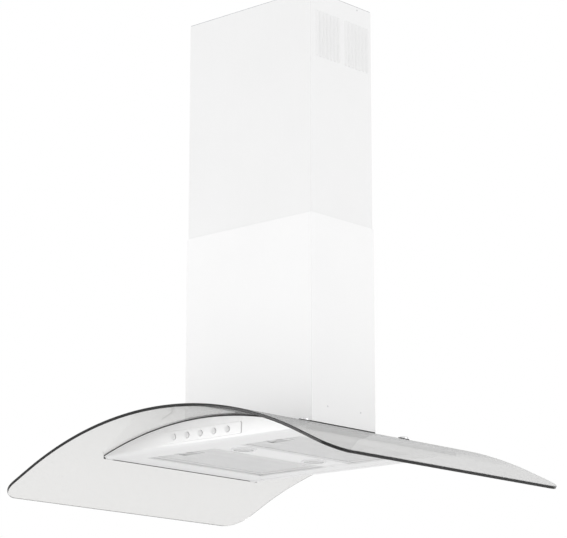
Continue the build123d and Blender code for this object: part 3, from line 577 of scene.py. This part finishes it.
# %% [markdown]
# The sheet has five openings: a large one for the air duct and four for the fixings. A hole is made
# by cutting a ring of edges into the flat blank and deleting what is inside. The easiest exact way
# is a Boolean modifier with simple cutters while the sheet is still flat. Its result is read back
# into a bmesh at once, so no cutter stays in the scene.

# %% Cutters for the openings
THROAT = (120 * MM, 64 * MM, 14 * MM)
THROAT_CLEAR = 8 * MM
FIXING = (200 * MM, 150 * MM)
HOLE_RADIUS = 6 * MM
CUTTER_HEIGHT = 100 * MM


def opening_cutters():
    shape = bmesh.new()
    rounded_rectangle(shape, THROAT[0] + THROAT_CLEAR, THROAT[1] + THROAT_CLEAR,
                      THROAT[2] + THROAT_CLEAR, -CUTTER_HEIGHT / 2, 6)
    for sx in (-1, 1):
        for sy in (-1, 1):
            made = bmesh.ops.create_circle(shape, cap_ends=True, segments=24, radius=HOLE_RADIUS)
            bmesh.ops.translate(shape, vec=(sx * FIXING[0], sy * FIXING[1], -CUTTER_HEIGHT / 2),
                                verts=made["verts"])
    pushed = bmesh.ops.extrude_face_region(shape, geom=shape.faces[:])
    bmesh.ops.translate(shape, vec=(0, 0, CUTTER_HEIGHT),
                        verts=[v for v in pushed["geom"] if isinstance(v, bmesh.types.BMVert)])
    bmesh.ops.recalc_face_normals(shape, faces=shape.faces[:])
    return shape


def cut_with(shape, cutters):
    """Takes the cutters out of the shape with an exact Boolean and returns the result."""
    objects = []
    for label, source in (("blank", shape), ("cutter", cutters)):
        mesh = bpy.data.meshes.new(label)
        source.to_mesh(mesh)
        source.free()
        objects.append(bpy.data.objects.new(label, mesh))
        bpy.context.scene.collection.objects.link(objects[-1])
    cut = objects[0].modifiers.new("cut", "BOOLEAN")
    cut.operation, cut.solver, cut.object = "DIFFERENCE", "EXACT", objects[1]
    ready = objects[0].evaluated_get(bpy.context.evaluated_depsgraph_get())
    result = bmesh.new()
    result.from_mesh(ready.to_mesh())
    for thing in objects:
        mesh = thing.data
        bpy.data.objects.remove(thing)
        bpy.data.meshes.remove(mesh)
    return result


# %% [markdown]
# One thing is left after the bend. The two faces of the sheet are huge beside the thin round of the
# rim, and smooth shading would average them: a dark band would creep in from the edge. A Weighted
# Normal modifier lets the large faces set the direction and leaves the rim its own. It stays live on
# the piece, because it changes only how the light falls and not the shape.

# %% Build, round the rim and bend the canopy
def canopy():
    shape = glass_blank()
    pushed = bmesh.ops.extrude_face_region(shape, geom=shape.faces[:])
    bmesh.ops.translate(shape, vec=(0, 0, GLASS_THICK),
                        verts=[v for v in pushed["geom"] if isinstance(v, bmesh.types.BMVert)])
    bmesh.ops.translate(shape, vec=(0, 0, -GLASS_THICK / 2), verts=shape.verts[:])
    bmesh.ops.recalc_face_normals(shape, faces=shape.faces[:])
    shape = cut_with(shape, opening_cutters())
    rims = [e for e in shape.edges if len(e.link_faces) == 2
            and abs(e.link_faces[0].normal.z - e.link_faces[1].normal.z) > 0.9
            and min(abs(f.normal.z) for f in e.link_faces) < 0.1]
    # Painted shade: faces that look to the front take the darker glass; the other edges stay clear.
    for face in shape.faces:
        face.material_index = int(face.normal.y < -0.5)
    bmesh.ops.bevel(shape, geom=rims, offset=RIM_ROUND, segments=3, profile=0.5,
                    affect="EDGES", material=-1)
    sliced(shape, [half_width * (2 * i / BEND_SLICES - 1) for i in range(1, BEND_SLICES)])
    for v in shape.verts:
        v.co = bent(*v.co)
    print("canopy rim edges rounded:", len(rims))
    return shape


glass = piece("canopy_sheet", canopy(), [clear_glass, rim_glass_painted_shade], "hood",
              ("glass_canopy",), smooth_angle=35)
even = glass.modifiers.new("even_shading", "WEIGHTED_NORMAL")
even.weight = 100
even.keep_sharp = True

# %% [markdown]
# ## Expanded metal in the filters
#
# A grease filter holds layers of expanded metal: sheet that was slit and pulled open into diamonds.
# One layer is a grid of squares that is turned by 45 degrees and squeezed. Each square is inset, its
# middle is deleted and the web that is left gets a thickness. A real pack has many layers; three,
# each a little finer, already hide what lies behind.

# %% One layer of diamonds, trimmed to its frame
def diamond_layer(x0, x1, y0, y1, z, long_way, short_way, web, thick, notch=None):
    shape = bmesh.new()
    x_mid, y_mid = (x0 + x1) / 2, (y0 + y1) / 2
    reach_x, reach_y = (x1 - x0) / long_way, (y1 - y0) / short_way
    count = int((reach_x + reach_y) / 2) + 3
    bmesh.ops.create_grid(shape, x_segments=2 * count, y_segments=2 * count, size=count)
    bmesh.ops.rotate(shape, cent=(0, 0, 0), matrix=Matrix.Rotation(radians(45), 3, "Z"),
                     verts=shape.verts[:])
    bmesh.ops.scale(shape, vec=(long_way / sqrt(2), short_way / sqrt(2), 1), verts=shape.verts[:])
    bmesh.ops.translate(shape, vec=(x_mid, y_mid, z), verts=shape.verts[:])
    for co, no in (((x0, 0, 0), (-1, 0, 0)), ((x1, 0, 0), (1, 0, 0)),
                   ((0, y0, 0), (0, -1, 0)), ((0, y1, 0), (0, 1, 0))):
        bmesh.ops.bisect_plane(shape, geom=shape.verts[:] + shape.edges[:] + shape.faces[:],
                               plane_co=co, plane_no=no, clear_outer=True, dist=1e-7)
    if notch:
        nx0, nx1, ny = notch
        for co, no in (((nx0, 0, 0), (1, 0, 0)), ((nx1, 0, 0), (1, 0, 0)), ((0, ny, 0), (0, 1, 0))):
            bmesh.ops.bisect_plane(shape, geom=shape.verts[:] + shape.edges[:] + shape.faces[:],
                                   plane_co=co, plane_no=no, dist=1e-7)
        inside = [f for f in shape.faces if nx0 < f.calc_center_median().x < nx1
                  and f.calc_center_median().y < ny]
        bmesh.ops.delete(shape, geom=inside, context="FACES")
    whole = [f for f in shape.faces if f.calc_area() > long_way * short_way * 0.2]
    bmesh.ops.inset_individual(shape, faces=whole, thickness=web / 2, use_even_offset=True)
    bmesh.ops.delete(shape, geom=whole, context="FACES")
    skin = bmesh.ops.extrude_face_region(shape, geom=shape.faces[:])
    bmesh.ops.translate(shape, vec=(0, 0, thick),
                        verts=[v for v in skin["geom"] if isinstance(v, bmesh.types.BMVert)])
    return shape


# %% Both packs, three layers each
TRAY_HALF_WIDTH = 30 * MM
TRAY_DEPTH = 47.5 * MM
# Each layer: height in the pack, diamond length and width, web and thickness, all in millimetres.
LAYERS = ((0.0, 9.0, 5.0, 1.1, 0.8), (1.9, 6.0, 3.6, 1.0, 0.7), (3.6, 4.4, 2.8, 0.95, 0.6))
for side in ("left", "right"):
    low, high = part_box("filter_mesh_" + side)
    tray_low, tray_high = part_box("filter_latch_" + side)
    tray_mid = (tray_low[0] + tray_high[0]) / 2
    notch = (tray_mid - TRAY_HALF_WIDTH, tray_mid + TRAY_HALF_WIDTH, tray_low[1] + TRAY_DEPTH)
    for level, (up, long_way, short_way, web, thick) in enumerate(LAYERS):
        shape = diamond_layer(low[0], high[0], low[1], high[1], low[2] + up * MM, long_way * MM,
                              short_way * MM, web * MM, thick * MM, notch)
        name = "expanded_metal_" + side + "_" + str(level + 1)
        piece(name, shape, [strand_metal], "filter_" + side,
              ("filter_mesh_" + side,) if level == 0 else ())

# %% [markdown]
# ## Screw heads with a cross recess
#
# The covers are held by pan head screws. The head is turned: a short profile is spun round the
# screw's axis. Then a cross is pushed in. Here the cross is two thin wedges cut out with the
# same Boolean helper that made the openings in the glass.

# %% A pan head
def pan_head(centre, outward, radius, height):
    """A head whose flat seat is at centre and whose dome points along outward."""
    shape = bmesh.new()
    profile = [(0, 0), (radius, 0), (radius, height * 0.35), (radius * 0.86, height * 0.75),
               (radius * 0.5, height), (0, height)]
    points = [shape.verts.new((r, 0, z)) for r, z in profile]
    edges = [shape.edges.new(pair) for pair in zip(points, points[1:])]
    bmesh.ops.spin(shape, geom=points + edges, cent=(0, 0, 0), axis=(0, 0, 1), dvec=(0, 0, 0),
                   angle=2 * pi, steps=24, use_merge=True)
    bmesh.ops.remove_doubles(shape, verts=shape.verts[:], dist=1e-6)
    bmesh.ops.recalc_face_normals(shape, faces=shape.faces[:])
    cross = bmesh.new()
    for turn in (0, 90):
        made = bmesh.ops.create_cube(cross, size=1.0)
        bmesh.ops.scale(cross, vec=(radius * 1.1, radius * 0.26, height * 1.2), verts=made["verts"])
        bmesh.ops.rotate(cross, cent=(0, 0, 0), matrix=Matrix.Rotation(radians(turn), 3, "Z"),
                         verts=made["verts"])
        bmesh.ops.translate(cross, vec=(0, 0, height), verts=made["verts"])
    shape = cut_with(shape, cross)
    turn = Vector((0, 0, 1)).rotation_difference(Vector(outward)).to_matrix()
    bmesh.ops.rotate(shape, cent=(0, 0, 0), matrix=turn, verts=shape.verts[:])
    bmesh.ops.translate(shape, vec=centre, verts=shape.verts[:])
    return shape


def joined(shapes):
    whole = bmesh.new()
    for shape in shapes:
        mesh = bpy.data.meshes.new("part")
        shape.to_mesh(mesh)
        shape.free()
        whole.from_mesh(mesh)
        bpy.data.meshes.remove(mesh)
    return whole


# %% Heads and shanks of the cover screws
HEAD_RADIUS = 4 * MM
HEAD_HEIGHT = 2.0 * MM
SHANK_RADIUS = 2 * MM
SHANK_LENGTH = 5 * MM
SHANK_MIDDLE = 2.4 * MM


def cover_screws(node, body):
    low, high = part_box(node)
    z = (low[2] + high[2]) / 2
    y_out = high[1] - HEAD_RADIUS
    shapes = []
    for sign in (-1, 1):
        for y in (-y_out, y_out):
            seat = sign * (high[0] - HEAD_HEIGHT)
            shapes.append(pan_head((seat, y, z), (sign, 0, 0), HEAD_RADIUS, HEAD_HEIGHT))
            shank = bmesh.new()
            middle = Matrix.Translation((seat - sign * SHANK_MIDDLE, y, z))
            bmesh.ops.create_cone(shank, cap_ends=True, segments=16, radius1=SHANK_RADIUS,
                                  radius2=SHANK_RADIUS, depth=SHANK_LENGTH,
                                  matrix=middle @ Matrix.Rotation(radians(90), 4, "Y"))
            shapes.append(shank)
    return piece(node + "_turned", joined(shapes), [plated], body, (node,))


cover_screws("upper_cover_screws", "upper_cover")
cover_screws("lower_cover_screws", "hood")

# %% [markdown]
# ## Reflectors behind the lens
#
# Behind each frosted lens sits a small pressed reflector. It only
# shows as a soft shape through the glass, but without it the lens looks like a white plug. The
# reflector is a spun curve; its facets come from using few steps round and flat shading.

# %% Reflectors
def reflector(name, centre, radius, height):
    shape = bmesh.new()
    points = [shape.verts.new((radius * r, 0, height * z))
              for r, z in ((0.16, 1.0), (0.42, 0.80), (0.70, 0.46), (0.90, 0.16), (1.0, 0.0),
                           (0.96, 0.0), (0.84, 0.20), (0.62, 0.52), (0.36, 0.86), (0.16, 1.08))]
    edges = [shape.edges.new(pair) for pair in zip(points, points[1:])]
    edges.append(shape.edges.new((points[-1], points[0])))
    bmesh.ops.spin(shape, geom=points + edges, cent=(0, 0, 0), axis=(0, 0, 1), dvec=(0, 0, 0),
                   angle=2 * pi, steps=24, use_merge=True)
    bmesh.ops.translate(shape, vec=centre, verts=shape.verts[:])
    return piece(name, shape, [ring_chrome], "hood", smooth_angle=10)


REFLECTOR_RADIUS = 16.5 * MM
REFLECTOR_HEIGHT = 6.0 * MM
REFLECTOR_GAP = 0.3 * MM
for end in rows:
    low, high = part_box("lamp_can_" + end)
    middle = ((low[0] + high[0]) / 2, (low[1] + high[1]) / 2, low[2] + REFLECTOR_GAP)
    reflector("lamp_reflector_" + end, middle, REFLECTOR_RADIUS, REFLECTOR_HEIGHT)

# %% [markdown]
# ## Floor, light and background
#
# The picture is a bright studio shot: a white room, soft light from everywhere, and a hood that
# stands out by its edges only. A plain pale floor lies as far under the hood as a kitchen floor
# would, and takes its faint shadow. The world is a soft pale dome. What the camera, a mirror or
# the glass sees of it is white.

# %% Floor
HANGING_HEIGHT = 1.65
FLOOR_SIZE = 40.0


def plain_floor():
    f = Finish("studio_floor")
    cloud = f.noise(1.5, detail=3.0)
    f.set(Base_Color=f.blend(cloud, grey(0.90), grey(0.93)), Roughness=0.9)
    shape = bmesh.new()
    bmesh.ops.create_grid(shape, x_segments=8, y_segments=8, size=FLOOR_SIZE)
    bmesh.ops.translate(shape, vec=(0, 0, frame_box[0][2] - HANGING_HEIGHT), verts=shape.verts[:])
    mesh = bpy.data.meshes.new("studio_floor")
    shape.to_mesh(mesh)
    shape.free()
    mesh.materials.append(f.material)
    floor = bpy.data.objects.new("studio_floor", mesh)
    bpy.context.scene.collection.objects.link(floor)
    return floor


floor = plain_floor()

# %% The white dome
DOME_LIGHT, DOME_SEEN = 0.92, 1.0
world = bpy.data.worlds.new("studio_dome")
bpy.context.scene.world = world
world.use_nodes = True
dome = world.node_tree
background = dome.nodes["Background"]
rays = dome.nodes.new("ShaderNodeLightPath")
seen = dome.nodes.new("ShaderNodeMath")
seen.operation = "ADD"
dome.links.new(rays.outputs["Is Camera Ray"], seen.inputs[0])
dome.links.new(rays.outputs["Is Glossy Ray"], seen.inputs[1])
clear = dome.nodes.new("ShaderNodeMath")
clear.operation = "ADD"
clear.use_clamp = True
dome.links.new(seen.outputs[0], clear.inputs[0])
dome.links.new(rays.outputs["Is Transmission Ray"], clear.inputs[1])
strength = dome.nodes.new("ShaderNodeMapRange")
strength.inputs["To Min"].default_value = DOME_LIGHT
strength.inputs["To Max"].default_value = DOME_SEEN
dome.links.new(clear.outputs[0], strength.inputs["Value"])
background.inputs["Color"].default_value = (1, 1, 1, 1)
dome.links.new(strength.outputs[0], background.inputs["Strength"])
print("dome strength:", DOME_LIGHT, "as light and", DOME_SEEN, "as seen")


# %% Soft lamps
def soft_lamp(name, place, target, size, watts):
    data = bpy.data.lights.new(name, "AREA")
    data.shape = "DISK"
    data.size, data.energy = size, watts
    lamp = bpy.data.objects.new(name, data)
    lamp.location = place
    lamp.rotation_euler = (Vector(target) - Vector(place)).to_track_quat("-Z", "Y").to_euler()
    bpy.context.scene.collection.objects.link(lamp)
    return lamp


soft_lamp("key", (-1.6, -3.2, -0.8), (0, 0, -0.8), 1.8, 14)
soft_lamp("fill", (2.8, 0.6, -0.7), (0, 0, -0.7), 1.8, 9)

# %% [markdown]
# ## The camera
#
# The picture was taken from the front right and from below the glass, with a long lens, looking
# slightly up. The numbers come from fitting the known edges of the hood to the picture.

# %% Camera
IMAGE_WIDTH = 567
FOCAL_PX = 2292.07
CENTRE_SHIFT_PX = -4.21
SENSOR = 36.0
CAMERA_PLACE = (3.05693, -3.38870, -1.63052)
TILT_UP, TURN = 13.4425, 41.8434
view = bpy.data.cameras.new("view")
view.sensor_fit = "HORIZONTAL"
view.sensor_width = SENSOR
view.lens = FOCAL_PX / IMAGE_WIDTH * SENSOR
view.shift_x = CENTRE_SHIFT_PX / IMAGE_WIDTH
view.clip_end = 60
camera = bpy.data.objects.new("view", view)
camera.location = CAMERA_PLACE
camera.rotation_euler = (radians(90 + TILT_UP), 0, radians(TURN))
bpy.context.scene.collection.objects.link(camera)
bpy.context.scene.camera = camera
bpy.context.scene.view_settings.view_transform = "Standard"
print("lens", round(view.lens, 2), "mm")
